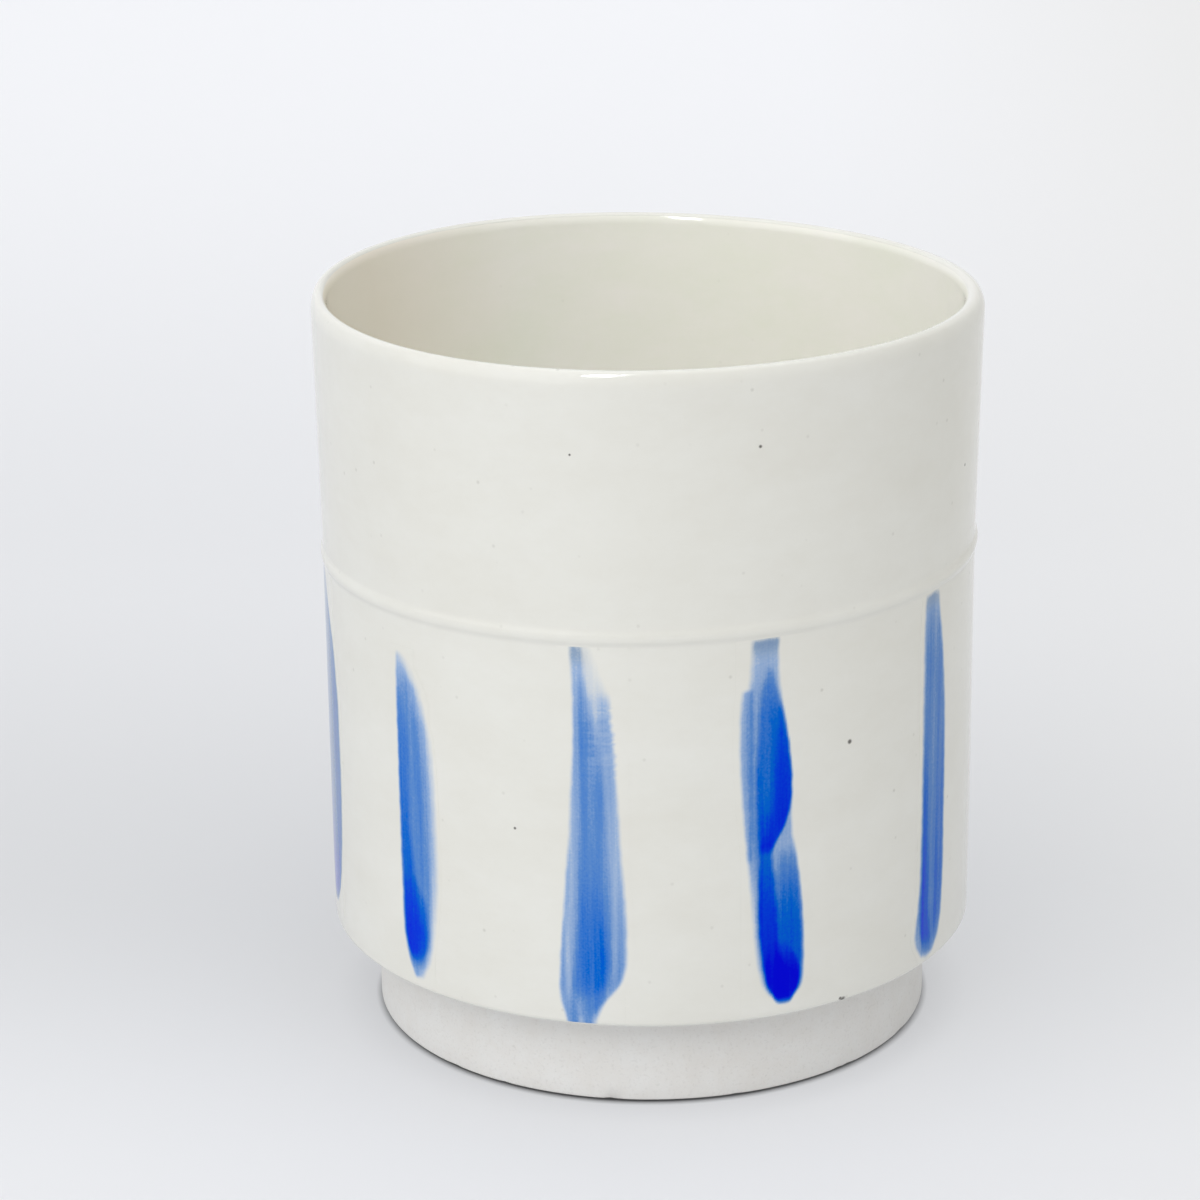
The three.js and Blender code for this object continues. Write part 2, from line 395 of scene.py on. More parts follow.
# Painted warm shade on the inside coat: a darker, warmer patch on the left, where the inner wall is turned
# from the key light, in the same measures
WARM_SHADE_PATCHES = ((-96.0, 80.0, 64.0),)
# Where a speck or a patch starts to fade and where it ends, as shares of its width
SPOT_FADE, SPOT_END = 0.25, 0.6
# How strongly specks, patches and pinholes colour the coat, as shares
IRON_STRENGTH = 0.9
WARM_SHADE_STRENGTH = 0.75
OUTER_PINHOLES = 0.5
LINER_PINHOLES = 0.12


def coat_tone(tree, place, tone, shade, pore, pinholes):
    """Colour of a glaze coat: soft cloudy patches and scattered pinholes, as dark as asked"""
    # patches drawn out level by the turning of the wheel
    level = add_node(tree, "Mapping", {"Vector": place, "Scale": (1, 1, 1.8)})
    cloud = add_node(tree, "TexNoise", {
        "Vector": level, "Scale": per_mm(16), "Detail": 8.0, "Roughness": 0.68})
    patch = add_node(tree, "ValToRGB", {"Fac": cloud}, stops=[(0.3, 0.0), (0.75, 1.0)])
    base = add_node(tree, "Mix", {FACTOR: patch, FIRST: rgba(tone), SECOND: rgba(shade)})
    # pinholes of a tenth of a millimetre, drawn about three times as wide so that they show, some deeper
    prick = add_node(tree, "TexVoronoi", {"Vector": place, "Scale": per_mm(3.4)})
    hole = add_node(tree, "ValToRGB", {"Fac": prick.outputs["Distance"]},
                    stops=[(0.02, pinholes), (0.085, 0.0)])
    depth = add_node(tree, "Math", {0: hole, 1: prick.outputs["Color"]}, operation="MULTIPLY")
    return add_node(tree, "Mix", {FACTOR: depth, FIRST: base, SECOND: rgba(pore)})


def coat_relief(tree, place):
    """Relief of a glaze coat: rings left by the thrower's fingers under fine orange peel"""
    # rings 2.2 mm apart that rise and fall slowly on their way round
    rings_place = add_node(tree, "Mapping", {"Vector": place, "Scale": (12, 12, per_mm(2.2))})
    rings = add_node(tree, "TexNoise", {"Vector": rings_place, "Scale": 1.0, "Detail": 2.0})
    peel = add_node(tree, "TexNoise", {"Vector": place, "Scale": per_mm(1.1), "Detail": 1.0})
    height = add_node(tree, "Math", {0: peel, 1: 0.3, 2: rings}, operation="MULTIPLY_ADD")
    return add_node(tree, "Bump", {"Strength": 0.25, "Distance": 0.05 * MM, "Height": height})


def glaze_material(form, finish, name, tone, shade, pinholes, stain_and_shade, strength, spots):
    """Clear-fired tin glaze on stoneware, dipped: glossy, a little wavy from the throwing rings under it,
    cloudy where the coat runs thick and thin, with pinholes and spots: iron specks, or a patch of painted
    warm shade"""
    material, tree, shader, place = new_material(name, finish.glaze_roughness)
    skin = coat_tone(tree, place, tone, shade, finish.pore, pinholes)
    for degrees, height, width in spots:
        centre = wall_point(form, degrees, height * MM)
        reach = add_node(tree, "VectorMath", {0: place, 1: centre}, operation="DISTANCE")
        spot = add_node(tree, "MapRange", {
            "Value": reach, "From Min": SPOT_FADE * width * MM,
            "From Max": SPOT_END * width * MM, "To Min": strength, "To Max": 0.0})
        skin = add_node(tree, "Mix", {FACTOR: spot, FIRST: skin, SECOND: rgba(stain_and_shade)})
    fill_inputs(tree, shader, {"Base Color": skin, "Normal": coat_relief(tree, place)})
    return material


def clay_material(finish):
    """Bare stoneware, wiped clean before firing: dead matt and chalky, with fine grit"""
    material, tree, shader, place = new_material("bare_stoneware", finish.clay_roughness)
    cloud = add_node(tree, "TexNoise", {
        "Vector": place, "Scale": per_mm(6), "Detail": 8.0, "Roughness": 0.75})
    patch = add_node(tree, "ValToRGB", {"Fac": cloud}, stops=[(0.3, 0.0), (0.8, 1.0)])
    base = add_node(tree, "Mix", {FACTOR: patch, FIRST: rgba(finish.clay), SECOND: rgba(finish.clay_shade)})
    # sand of a fifth of a millimetre, drawn nearly twice as wide so that it shows
    sand = add_node(tree, "TexNoise", {"Vector": place, "Scale": per_mm(0.35), "Detail": 2.0})
    grain = add_node(tree, "ValToRGB", {"Fac": sand}, stops=[(0.56, 0.0), (0.85, 0.24)])
    speckled = add_node(tree, "Mix", {FACTOR: grain, FIRST: base, SECOND: rgba(finish.grit)})
    relief = add_node(tree, "Bump", {"Strength": 0.7, "Distance": 0.06 * MM, "Height": sand})
    fill_inputs(tree, shader, {"Base Color": speckled, "Normal": relief})
    return material


# Cobalt: how much grains count beside hairs, how strong both are, and over what load it hides the coat
GRAIN_SHARE = 0.35
STREAKINESS = 1.5
COVER_FROM, COVER_TO = 0.01, 0.22


def cobalt_material(finish):
    """Cobalt oxide brushed on and fired into the glaze: as glossy as the coat, pale where it was wet, deep
    blue where it pooled, with fine streaks left by the hairs of the brush"""
    material, tree, shader, place = new_material("cobalt_wash_in_glaze", finish.glaze_roughness)
    bare = coat_tone(tree, place, finish.glaze, finish.glaze_shade, finish.pore, OUTER_PINHOLES)
    pigment = add_node(tree, "Attribute", attribute_name="pigment").outputs["Fac"]
    brush = add_node(tree, "Attribute", attribute_name="brush").outputs["Vector"]
    # hairs bunched to about a millimetre, whose streaks run for about thirty
    hair_place = add_node(tree, "Mapping", {"Vector": brush, "Scale": (1 / 0.9, 1 / 30, 1)})
    hairs = add_node(tree, "TexNoise", {"Vector": hair_place, "Scale": 1.0, "Detail": 3.0, "Roughness": 0.6})
    # grains of cobalt a tenth of a millimetre across, drawn three times as wide so that they show
    grains = add_node(tree, "TexNoise", {"Vector": brush, "Scale": 1 / 0.3, "Detail": 1.0})
    unevenness = add_node(tree, "Math", {0: grains, 1: GRAIN_SHARE, 2: hairs}, operation="MULTIPLY_ADD")
    # both patterns swing about a half, and streaks show most where the wash is neither thin nor thick
    spread = add_node(tree, "Math", {0: unevenness, 1: (1 + GRAIN_SHARE) / 2}, operation="SUBTRACT")
    thin = add_node(tree, "Math", {0: 1.1, 1: pigment}, operation="SUBTRACT")
    open_share = add_node(tree, "Math", {0: thin, 1: pigment}, operation="MULTIPLY")
    streak = add_node(tree, "Math", {0: spread, 1: open_share}, operation="MULTIPLY")
    amount = add_node(tree, "Math", {0: streak, 1: STREAKINESS, 2: pigment}, operation="MULTIPLY_ADD")
    blue = add_node(tree, "ValToRGB", {"Fac": amount}, stops=[
        (0.2, finish.cobalt_pale), (0.45, finish.cobalt_mid), (0.7, finish.cobalt_full),
        (0.85, finish.cobalt_thick), (0.98, finish.cobalt_deep)])
    cover = add_node(tree, "MapRange", {"Value": amount, "From Min": COVER_FROM, "From Max": COVER_TO})
    # grey mixed in: painted shade on the first stroke, and grey heads under the bead
    dull = add_node(tree, "Attribute", attribute_name="dull").outputs["Fac"]
    wash = add_node(tree, "Mix", {FACTOR: dull, FIRST: blue, SECOND: rgba(finish.cobalt_grey)})
    skin = add_node(tree, "Mix", {FACTOR: cover, FIRST: bare, SECOND: wash})
    # thick cobalt drinks the clear coat, so it mirrors less than the bare coat round it, unless grey is mixed
    # in
    shine = add_node(tree, "Math", {0: dull, 1: 1.2, 2: 0.03}, operation="MULTIPLY_ADD")
    mirror = add_node(tree, "MapRange", {
        "Value": amount, "From Min": COVER_FROM, "From Max": COVER_TO,
        "To Min": 0.5, "To Max": shine})
    fill_inputs(tree, shader, {
        "Specular IOR Level": mirror, "Base Color": skin, "Normal": coat_relief(tree, place)})
    return material


# Paper: from which depth to which behind the mug its painted shade changes, from where to where on the right
# its painted warm shade sets in, and how far inside and outside the edge of the foot its glow sets in
TONE_FROM, TONE_TO = -60 * MM, 600 * MM
WARM_FROM, WARM_TO = 40 * MM, 180 * MM
GLOW_INSIDE, GLOW_OUTSIDE = 0.5 * MM, 0.7 * MM
PAPER_ROUGHNESS = 0.9


def paper_material(form, stage):
    """Matt white paper with painted light and shade: a glow of its own, which leaves only a thin painted
    shadow at the foot
    """
    material, tree, shader, place = new_material("back_lit_paper", PAPER_ROUGHNESS)
    spot = add_node(tree, "SeparateXYZ", {"Vector": place})
    # painted shade: darkest just behind the middle of the mug, lighter in front and lightest far behind
    along = add_node(tree, "MapRange", {
        "Value": spot.outputs["Y"], "From Min": TONE_FROM, "From Max": TONE_TO})
    shaded = add_node(tree, "ValToRGB", {"Fac": along},
                      stops=[(0.0, 0.4), (0.14, 1.0), (0.355, 0.65), (0.8, 0.0)])
    shaded.color_ramp.interpolation = "EASE"
    tone = add_node(tree, "Mix", {FACTOR: shaded, FIRST: rgba(stage.floor), SECOND: rgba(stage.floor_shade)})
    # painted warm shade: darker and warmer toward the right
    rightward = add_node(tree, "MapRange", {
        "Value": spot.outputs["X"], "From Min": WARM_FROM, "From Max": WARM_TO})
    warmed = add_node(tree, "Mix", {FACTOR: rightward, FIRST: tone, SECOND: rgba(stage.floor_warm_shade)})
    # the paper's glow is painted light; it is gone where the foot stands, which paints a thin contact shadow
    # at its edge
    reach = add_node(tree, "VectorMath", {0: place}, operation="LENGTH")
    glow = add_node(tree, "MapRange", {
        "Value": reach, "From Min": form.foot_radius - GLOW_INSIDE,
        "From Max": form.foot_radius + GLOW_OUTSIDE, "To Max": stage.floor_glow})
    fill_inputs(tree, shader, {"Base Color": warmed, "Emission Color": warmed, "Emission Strength": glow})
    return material


class MUG_OT_clay_body(bpy.types.Operator):
    """Turn the clay body: wall, floor, stacking ledge and bare foot ring"""
    bl_idname = "mug.clay_body"
    bl_label = "Clay body"

    def execute(self, context):
        form, finish = context.scene.mug_form, context.scene.mug_finish
        shoulder, crest, throat = lip_centres(form)
        turn, throat_turn = math.degrees(form.shoulder_turn), math.degrees(form.throat_turn)
        wall = form.wall_radius - form.glaze
        inner = form.inner_radius + form.glaze
        floor = form.floor_height - form.glaze
        bottom = form.bottom_round + form.glaze
        corner = form.ledge_round - TIGHTER_CLAY
        recess = form.foot_radius - form.foot_ring
        edge = form.foot_edge
        bm = draw_section(
            (0, form.recess_depth),
            (recess - form.recess_round, form.recess_depth),
            (recess - form.recess_round, form.recess_depth - form.recess_round, -90, 8),
            (recess, edge),
            (recess + edge, edge, 90, 4),
            (form.foot_radius - form.foot_contact, 0),
            (form.foot_radius - edge, form.foot_gap),
            (form.foot_radius - edge, form.foot_gap + edge, 90, 5),
            (form.foot_radius, form.ledge_height - LEDGE_FILLET),
            (form.foot_radius + LEDGE_FILLET, form.ledge_height - LEDGE_FILLET, -90, 4),
            (wall - corner, form.ledge_height),
            (wall - corner, form.ledge_height + corner, 90, 5),
            (form.rim_radius - form.glaze, shoulder[1]),
            (*shoulder, turn, 5),
            (*crest, 180 - turn - throat_turn, 12),
            (*throat, throat_turn, 5),
            (inner, floor + bottom),
            (inner - bottom, floor + bottom, -90, 16),
            (0, floor),
        )
        turn_piece(context, bm, "clay_body_turned", "clay_body", clay_material(finish))
        return {"FINISHED"}


class MUG_OT_liner_glaze(bpy.types.Operator):
    """Coat the inside with glaze up to the lip"""
    bl_idname = "mug.liner_glaze"
    bl_label = "Liner glaze"

    def execute(self, context):
        form, finish = context.scene.mug_form, context.scene.mug_finish
        crest, throat = lip_centres(form)[1:]
        throat_turn = math.degrees(form.throat_turn)
        face = form.lip_round - form.film
        start = math.radians(LINER_LAP)
        thickness = form.glaze - form.film
        bottom_x = form.inner_radius - form.bottom_round
        bottom_z = form.floor_height + form.bottom_round
        bm = draw_section(
            (0, form.floor_height - thickness),
            (bottom_x, form.floor_height - thickness),
            (bottom_x, bottom_z, 90, 20),
            (throat[0] - form.throat_round + form.glaze - form.film, throat[1]),
            (*throat, -throat_turn, 8),
            (*crest, throat_turn - LINER_LAP, 4),
            (crest[0] - face * math.cos(start), crest[1] + face * math.sin(start)),
            (*crest, LINER_LAP - throat_turn, 6),
            (*throat, throat_turn, 12),
            (form.inner_radius, bottom_z),
            (bottom_x, bottom_z, -90, 20),
            (0, form.floor_height),
        )
        # the liner's patch is painted warm shade
        material = glaze_material(form, finish, "cream_liner_glaze", finish.liner, finish.liner_shade,
                                  LINER_PINHOLES, finish.liner_warm_shade, WARM_SHADE_STRENGTH, WARM_SHADE_PATCHES)
        turn_piece(context, bm, "liner_glaze_coat", "liner_glaze", material)
        return {"FINISHED"}


class MUG_OT_outer_glaze(bpy.types.Operator):
    """Coat the outside with glaze from the ledge over the lip"""
    bl_idname = "mug.outer_glaze"
    bl_label = "Outer glaze"

    def execute(self, context):
        form, finish = context.scene.mug_form, context.scene.mug_finish
        shoulder, crest = lip_centres(form)[:2]
        turn = math.degrees(form.shoulder_turn)
        back = form.lip_round - form.glaze + form.film
        end = math.radians(OUTER_LAP)
        wall = form.wall_radius
        corner = form.ledge_round
        base = form.ledge_height - form.film
        half = form.bead_width / 2
        bead = form.bead_height
        # three arcs of one radius: out of the wall, over the bead and back into the wall
        slope = 2 * math.atan(form.bead_relief / half)
        crown = half / (2 * math.sin(slope))
        sweep = math.degrees(slope)
        bm = draw_section(
            (wall - corner - COAT_EDGE, base),
            (wall - corner, base),
            (wall - corner, base + corner, 90, 8),
            (wall, bead - half),
            (wall + crown, bead - half, -sweep, 6),
            (wall + form.bead_relief - crown, bead, 2 * sweep, 12),
            (wall + crown, bead + half, -sweep, 6),
            (form.rim_radius, shoulder[1]),
            (*shoulder, turn, 6),
            (*crest, OUTER_LAP - turn, 16),
            (crest[0] + back * math.cos(end), crest[1] + back * math.sin(end)),
            (*crest, turn - OUTER_LAP, 12),
            (*shoulder, -turn, 5),
            (wall - form.glaze + form.film, base + corner),
            (wall - corner - COAT_EDGE, base),
        )
        material = glaze_material(form, finish, "off_white_glaze", finish.glaze, finish.glaze_shade,
                                  OUTER_PINHOLES, finish.iron, IRON_STRENGTH, IRON_SPECKS)
        turn_piece(context, bm, "outer_glaze_coat", "outer_glaze", material)
        return {"FINISHED"}


# Passes of the brush. A pass is how soft its left edge, right edge and ends are, then its stations from
# the top down: height over the table, left edge, right edge and load of pigment. Edges are measured across
# the wall from the stroke's own middle. A load under nothing lifts pigment off again. All in mm.
BROAD_SIDE = (
    (0.8, 1.1, 1.5, (58.4, -4.2, -2.2, 0.34), (55, -4.4, -0.6, 0.38), (52, -4.5, 1.1, 0.42),
     (49, -4.6, 2.4, 0.44), (43, -4.6, 3.5, 0.46), (35, -4.6, 3.7, 0.46), (30, -4.5, 3.6, 0.48),
     (25, -4.4, 3.1, 0.6), (20, -4.2, 2.2, 0.72), (17, -3.4, 0.9, 0.76), (15.6, -2.6, -0.8, 0.7)),
    (0.8, 1.8, 3, (55, -4.3, -3.2, 0.1), (44, -4.5, -2.8, 0.28), (30, -4.4, -2.3, 0.42),
     (20, -4.1, -1.4, 0.54), (16.4, -3.0, -1.4, 0.46)),
    (1.4, 1.0, 3, (50, 0.2, 1.6, 0.12), (43, 0.8, 3.2, 0.24), (30, 1.0, 3.3, 0.28), (21, 0.4, 2.2, 0.26)),
    (0.8, 1.1, 2, (25, -3.8, 0.2, 0.1), (22, -3.9, 1.2, 0.34), (18.5, -3.5, 1.0, 0.46),
     (16.2, -2.7, -0.7, 0.4)),
    (0.7, 0.7, 4, (46, -1.8, -1.2, -0.05), (32, -1.5, -0.8, -0.1), (21, -1.3, -0.8, -0.05)),
    (0.6, 0.8, 4, (40, 0.2, 0.6, -0.04), (30, 0.3, 0.8, -0.08), (22, 0.1, 0.5, -0.04)),
)
POOLED_TOE = (
    (0.7, 1.8, 1, (54.4, -2.8, -2.4, 0.2), (52, -2.95, -1.1, 0.28), (50, -2.95, 0.7, 0.3),
     (45, -2.95, 2.15, 0.3), (40, -2.9, 2.6, 0.3), (30, -2.85, 2.85, 0.3), (25, -2.85, 2.7, 0.3),
     (20, -2.8, 2.1, 0.32), (17, -2.4, 1.5, 0.34), (15, -1.6, 0.7, 0.38), (13.8, -0.9, -0.2, 0.34)),
    (0.8, 1.9, 2.5, (52.4, -2.85, -2.2, 0.06), (50.5, -2.85, -1.0, 0.16), (46, -2.8, 0.9, 0.24),
     (40, -2.75, 1.6, 0.27), (30, -2.7, 1.8, 0.27), (24, -2.7, 1.6, 0.28), (18, -2.5, 1.4, 0.28),
     (16, -1.4, 0.4, 0.2)),
    (0.6, 1.3, 2, (51, -2.9, -1.9, 0.0), (48, -2.9, -1.7, 0.22), (44, -2.9, -1.4, 0.32),
     (37, -2.85, -1.4, 0.4), (33, -2.85, -1.3, 0.44), (28, -2.8, -0.8, 0.44), (24, -2.7, -0.1, 0.42),
     (20, -2.6, 0.6, 0.4), (16.3, -1.8, -0.2, 0.4)),
    (0.6, 0.9, 2, (26.5, -2.6, -0.6, 0.1), (24.5, -2.65, 0.9, 0.28), (22, -2.65, 1.4, 0.42),
     (19, -2.5, 1.4, 0.52), (16.8, -1.9, 0.8, 0.52), (15.6, -1.1, -0.1, 0.42)),
    (0.5, 0.5, 4, (49, -0.9, -0.5, -0.05), (36, -0.6, -0.2, -0.08), (27, -0.5, -0.1, -0.05)),
    (0.8, 1.4, 1.2, (54, -2.3, -1.2, 0.05), (52, -1.8, 0.2, 0.07), (50, -1.2, 1.5, 0.06)),
)
DRY_HEAD = (
    (0.7, 1.2, 0.8, (59.2, -2.4, -1.3, 0.24), (55, -2.2, -1.0, 0.24), (52, -2.1, -0.4, 0.25),
     (48, -2.1, 0.6, 0.26), (42, -2.45, 1.2, 0.26), (36, -2.75, 1.6, 0.26), (30, -3.2, 2.0, 0.26),
     (25, -3.6, 2.2, 0.27), (20, -4.0, 2.0, 0.28), (17, -4.15, 1.6, 0.3), (15.3, -4.0, 1.0, 0.34),
     (14.2, -3.6, 0.4, 0.38), (13.2, -3.3, 0.0, 0.4), (12.2, -3.1, -0.2, 0.4)),
    (1.8, 0.8, 2.2, (52.6, -0.9, 2.1, 0.16), (50.5, -0.9, 2.2, 0.28), (48, -0.8, 2.4, 0.33),
     (45, -0.6, 2.6, 0.3), (40, -0.2, 2.85, 0.26), (35, 0.2, 3.1, 0.24), (30, 0.6, 3.45, 0.25),
     (25, 0.6, 3.75, 0.28), (20, 0.6, 3.65, 0.3), (17.8, 0.4, 3.1, 0.32), (16.3, 0.0, 1.9, 0.34),
     (15, -0.6, 0.9, 0.32), (14, -1.0, 0.2, 0.25)),
    (1.0, 1.6, 3, (55, -1.9, -0.9, 0.1), (48, -1.8, -0.3, 0.24), (38, -1.7, 0.1, 0.26), (30, -1.8, 0.8, 0.36),
     (25, -1.9, 1.3, 0.48), (20, -2.2, 1.7, 0.52), (17, -2.4, 1.1, 0.46), (15, -2.1, -0.6, 0.15)),
    (0.5, 0.6, 3, (34, -3.0, -2.6, 0.06), (26, -3.6, -3.2, 0.14), (20, -4.0, -3.5, 0.18),
     (16, -4.1, -3.5, 0.18)),
    (0.6, 0.6, 3, (40, -2.4, -2.1, -0.03), (30, -2.8, -2.4, -0.06), (22, -3.3, -2.8, -0.08),
     (16, -3.4, -2.9, -0.05)),
    (0.7, 0.5, 3, (30, 2.8, 3.3, 0.05), (24, 2.8, 3.5, 0.08), (19, 2.4, 3.3, 0.12), (17, 1.6, 2.6, 0.1)),
    (0.8, 0.8, 3, (40, 1.7, 2.2, -0.02), (30, 1.8, 2.5, -0.06), (22, 1.7, 2.4, -0.08), (17, 1.3, 1.9, -0.06)),
    (1.0, 2.0, 2.0, (58.9, -1.6, -0.4, 0.08), (55, -1.3, 0.7, 0.1), (52.2, -1.0, 2.0, 0.12)),
    (0.4, 0.4, 0.6, (13.4, -1.8, -1.4, -0.1), (12.2, -1.95, -1.2, -0.4)),
)
TWO_LOADS = (
    (1.0, 0.7, 0.6, (59.2, -2.25, 0.85, 0.22), (56, -2.3, 0.8, 0.24), (54.5, -2.35, 0.9, 0.26),
     (52.8, -2.4, 1.05, 0.26), (49, -2.4, 1.6, 0.29), (46, -2.4, 2.2, 0.3), (42, -2.5, 2.5, 0.3),
     (38, -2.6, 2.5, 0.3), (35, -2.6, 2.6, 0.3), (32, -2.7, 3.2, 0.28), (29, -2.4, 3.6, 0.28),
     (26, -2.1, 3.95, 0.3), (20, -1.6, 4.2, 0.34), (17, -1.0, 4.15, 0.36), (16, -0.6, 4.0, 0.36),
     (15.2, -0.15, 3.65, 0.36), (14.6, 0.45, 3.1, 0.36), (14.2, 1.0, 2.5, 0.36), (13.9, 1.5, 2.0, 0.36)),
    (0.8, 0.8, 0.8, (52.7, -3.35, -2.2, 0.24), (50.5, -3.6, -2.2, 0.28), (46, -3.7, -2.2, 0.3),
     (42, -3.5, -2.3, 0.3), (38, -3.3, -2.4, 0.3), (35, -3.0, -2.4, 0.3), (32, -2.7, -2.4, 0.28)),
    (0.5, 0.5, 0.8, (59.2, -2.2, 0.85, 0.14), (57.8, -2.2, 0.85, 0.12), (57, -2.2, 0.85, 0.0)),
    (1.0, 1.0, 4, (54, -2.7, -1.0, 0.08), (47, -2.9, -1.5, 0.14), (40, -2.7, -1.4, 0.18),
     (35, -2.3, -1.2, 0.22), (29, -1.9, -1.2, 0.18)),
    (0.9, 0.6, 1.5, (55.2, -0.6, 0.2, 0.16), (53, -1.0, 0.6, 0.38), (50, -1.35, 1.3, 0.48),
     (46, -1.55, 2.15, 0.48), (42, -1.75, 2.6, 0.5), (39, -1.7, 2.55, 0.54), (37, -1.6, 2.15, 0.68),
     (35.5, -1.5, 1.5, 0.74), (34.2, -1.45, 0.7, 0.76), (33, -1.4, 0.0, 0.7)),
    (1.6, 0.45, 2, (51, 0.3, 1.3, 0.25), (48, 0.3, 1.9, 0.5), (43, 0.3, 2.5, 0.68), (39, 0.2, 2.5, 0.7),
     (37, 0.1, 2.1, 0.66), (35.3, -0.2, 1.3, 0.5), (33.5, -0.6, 0.3, 0.3)),
    (0.6, 0.9, 1.5, (34.5, -1.3, 0.1, 0.5), (32, -1.35, 0.1, 0.62), (30, -1.5, 0.5, 0.7),
     (26, -1.5, 0.8, 0.82), (22, -1.35, 0.9, 0.86), (19, -0.95, 1.6, 0.86), (16.5, -0.4, 2.4, 0.86),
     (15, 0.6, 2.4, 0.86)),
    (0.6, 0.6, 0.9, (21.5, -0.8, 2.0, 0.05), (20.5, -0.8, 2.6, 0.4), (19, -0.9, 3.6, 0.8),
     (17, -0.65, 3.85, 0.94), (16, -0.3, 3.7, 0.94), (15.2, 0.1, 3.3, 0.94), (14.6, 0.7, 2.8, 0.92),
     (14.2, 1.2, 2.3, 0.9)),
    (1.5, 0.8, 2, (33, 0.7, 3.0, 0.14), (31, 0.8, 3.3, 0.32), (28, 0.8, 3.7, 0.52), (24, 0.7, 3.95, 0.6),
     (19, 0.9, 4.0, 0.6), (16.5, 1.2, 3.8, 0.5)),
    (0.4, 0.4, 3, (49, -0.5, -0.1, -0.08), (37, -0.4, 0.0, -0.1)),
)
LONG_EVEN = (
    (1.0, 1.0, 1, (59.2, -2.75, -0.2, 0.22), (57.6, -2.85, 0.1, 0.28), (56, -2.95, 0.3, 0.34),
     (54, -3.0, 0.8, 0.4), (50, -3.0, 1.5, 0.47), (45, -2.95, 2.1, 0.47), (38, -2.9, 2.4, 0.48),
     (30, -2.9, 2.45, 0.5), (23, -3.0, 2.45, 0.54), (18.5, -3.6, 2.2, 0.44), (17, -4.05, 2.0, 0.34),
     (15.4, -4.0, 1.4, 0.32), (14.2, -3.2, 0.6, 0.32), (13.5, -2.4, -0.4, 0.3)),
    (0.6, 1.0, 4, (44, -2.8, -1.8, 0.04), (38, -2.75, -1.7, 0.2), (33, -2.75, -1.5, 0.36),
     (25, -2.7, -1.3, 0.55), (19, -2.9, -1.1, 0.58), (15.5, -2.8, -0.6, 0.58), (14, -2.0, -0.8, 0.3)),
    (1.2, 1.4, 3, (20, -2.8, 0.5, 0.1), (16.5, -2.9, 1.0, 0.32), (14.3, -2.2, 0.2, 0.32)),
    (1.2, 0.9, 5, (50, 0.2, 1.4, 0.06), (40, 0.0, 2.2, 0.14), (25, 0.2, 2.3, 0.32), (19, 0.1, 2.0, 0.42),
     (16, 0.0, 1.6, 0.34)),
    (0.8, 0.8, 4, (33, -1.1, -0.5, -0.02), (24, -1.2, -0.1, -0.05), (15, -1.1, -0.1, -0.05)),
)

# How each stroke was brushed: its passes, 1 or -1 for the side it leans to, the height where its head
# starts, how far round the wall its middle is, the band of heights where the brush ran dry, and how much grey
# is mixed in, which on the first stroke is painted shade. Hidden strokes repeat the hand's habits, most of
# them turned to the other side.
STROKES = (
    (BROAD_SIDE, 1, 58.6, -76.0, None, 0.36),
    (POOLED_TOE, 1, 60.0, -43.4, None, 0),
    (DRY_HEAD, 1, 58.9, -9.5, (41, 52.5), 0),
    (TWO_LOADS, 1, 58.6, 20.3, None, 0),
    (LONG_EVEN, 1, 58.5, 58.3, None, 0.06),
    (POOLED_TOE, -1, 53.0, 91.0, None, 0),
    (DRY_HEAD, -1, 58.8, 122.0, (44, 52.5), 0),
    (LONG_EVEN, -1, 55.0, 156.0, None, 0),
    (TWO_LOADS, -1, 57.2, 187.0, None, 0),
    (BROAD_SIDE, -1, 58.4, 220.0, None, 0),
    (LONG_EVEN, 1, 56.5, 252.0, None, 0.1),
)
# How far the film of a stroke reaches past its pigment, in mm
FEATHER = 0.9
# Share of the glazed corner over the ledge that the film leaves bare
BARE_CORNER = 0.2
# Heights, in mm, over which the corners of a pass are rounded off
ROUNDING = (-0.9, -0.3, 0.3, 0.9)
# Brush, in mm: how unsteady its sides, its head and its dry side are, and how soft its head is
SIDE_WANDER, HEAD_WANDER, DRY_WANDER, HEAD_SOFT = 0.05, 0.15, 0.22, 0.9
# Share of the pigment that a dry brush leaves out
DRY_SKIPS = 0.17
# Heads greyed just under the bead: how grey, from how far below it and over which height, in mm
HEAD_DULL, HEAD_DULL_BELOW, HEAD_DULL_FADE = 0.38, 4, 2.5
# Keeps the hairs of strokes from repeating, in mm
STROKES_APART = 10.0


def ease(amount):
    """A soft step from nothing to one"""
    amount = np.clip(amount, 0, 1)
    return amount * amount * (3 - 2 * amount)


def at_height(stations, column, z):
    """One column of a pass's stations at heights z, with its corners rounded off"""
    heights = [s[0] for s in reversed(stations)]
    values = [s[column] for s in reversed(stations)]
    return sum(np.interp(z + offset, heights, values) for offset in ROUNDING) / len(ROUNDING)


def ruffle(z, seed):
    """A slow unsteady wander along a stroke, the same each time for one seed"""
    return (np.sin(1.9 * z + 3 * seed) + np.sin(3.1 * z + 7 * seed) + np.sin(0.7 * z + 11 * seed)) / 3


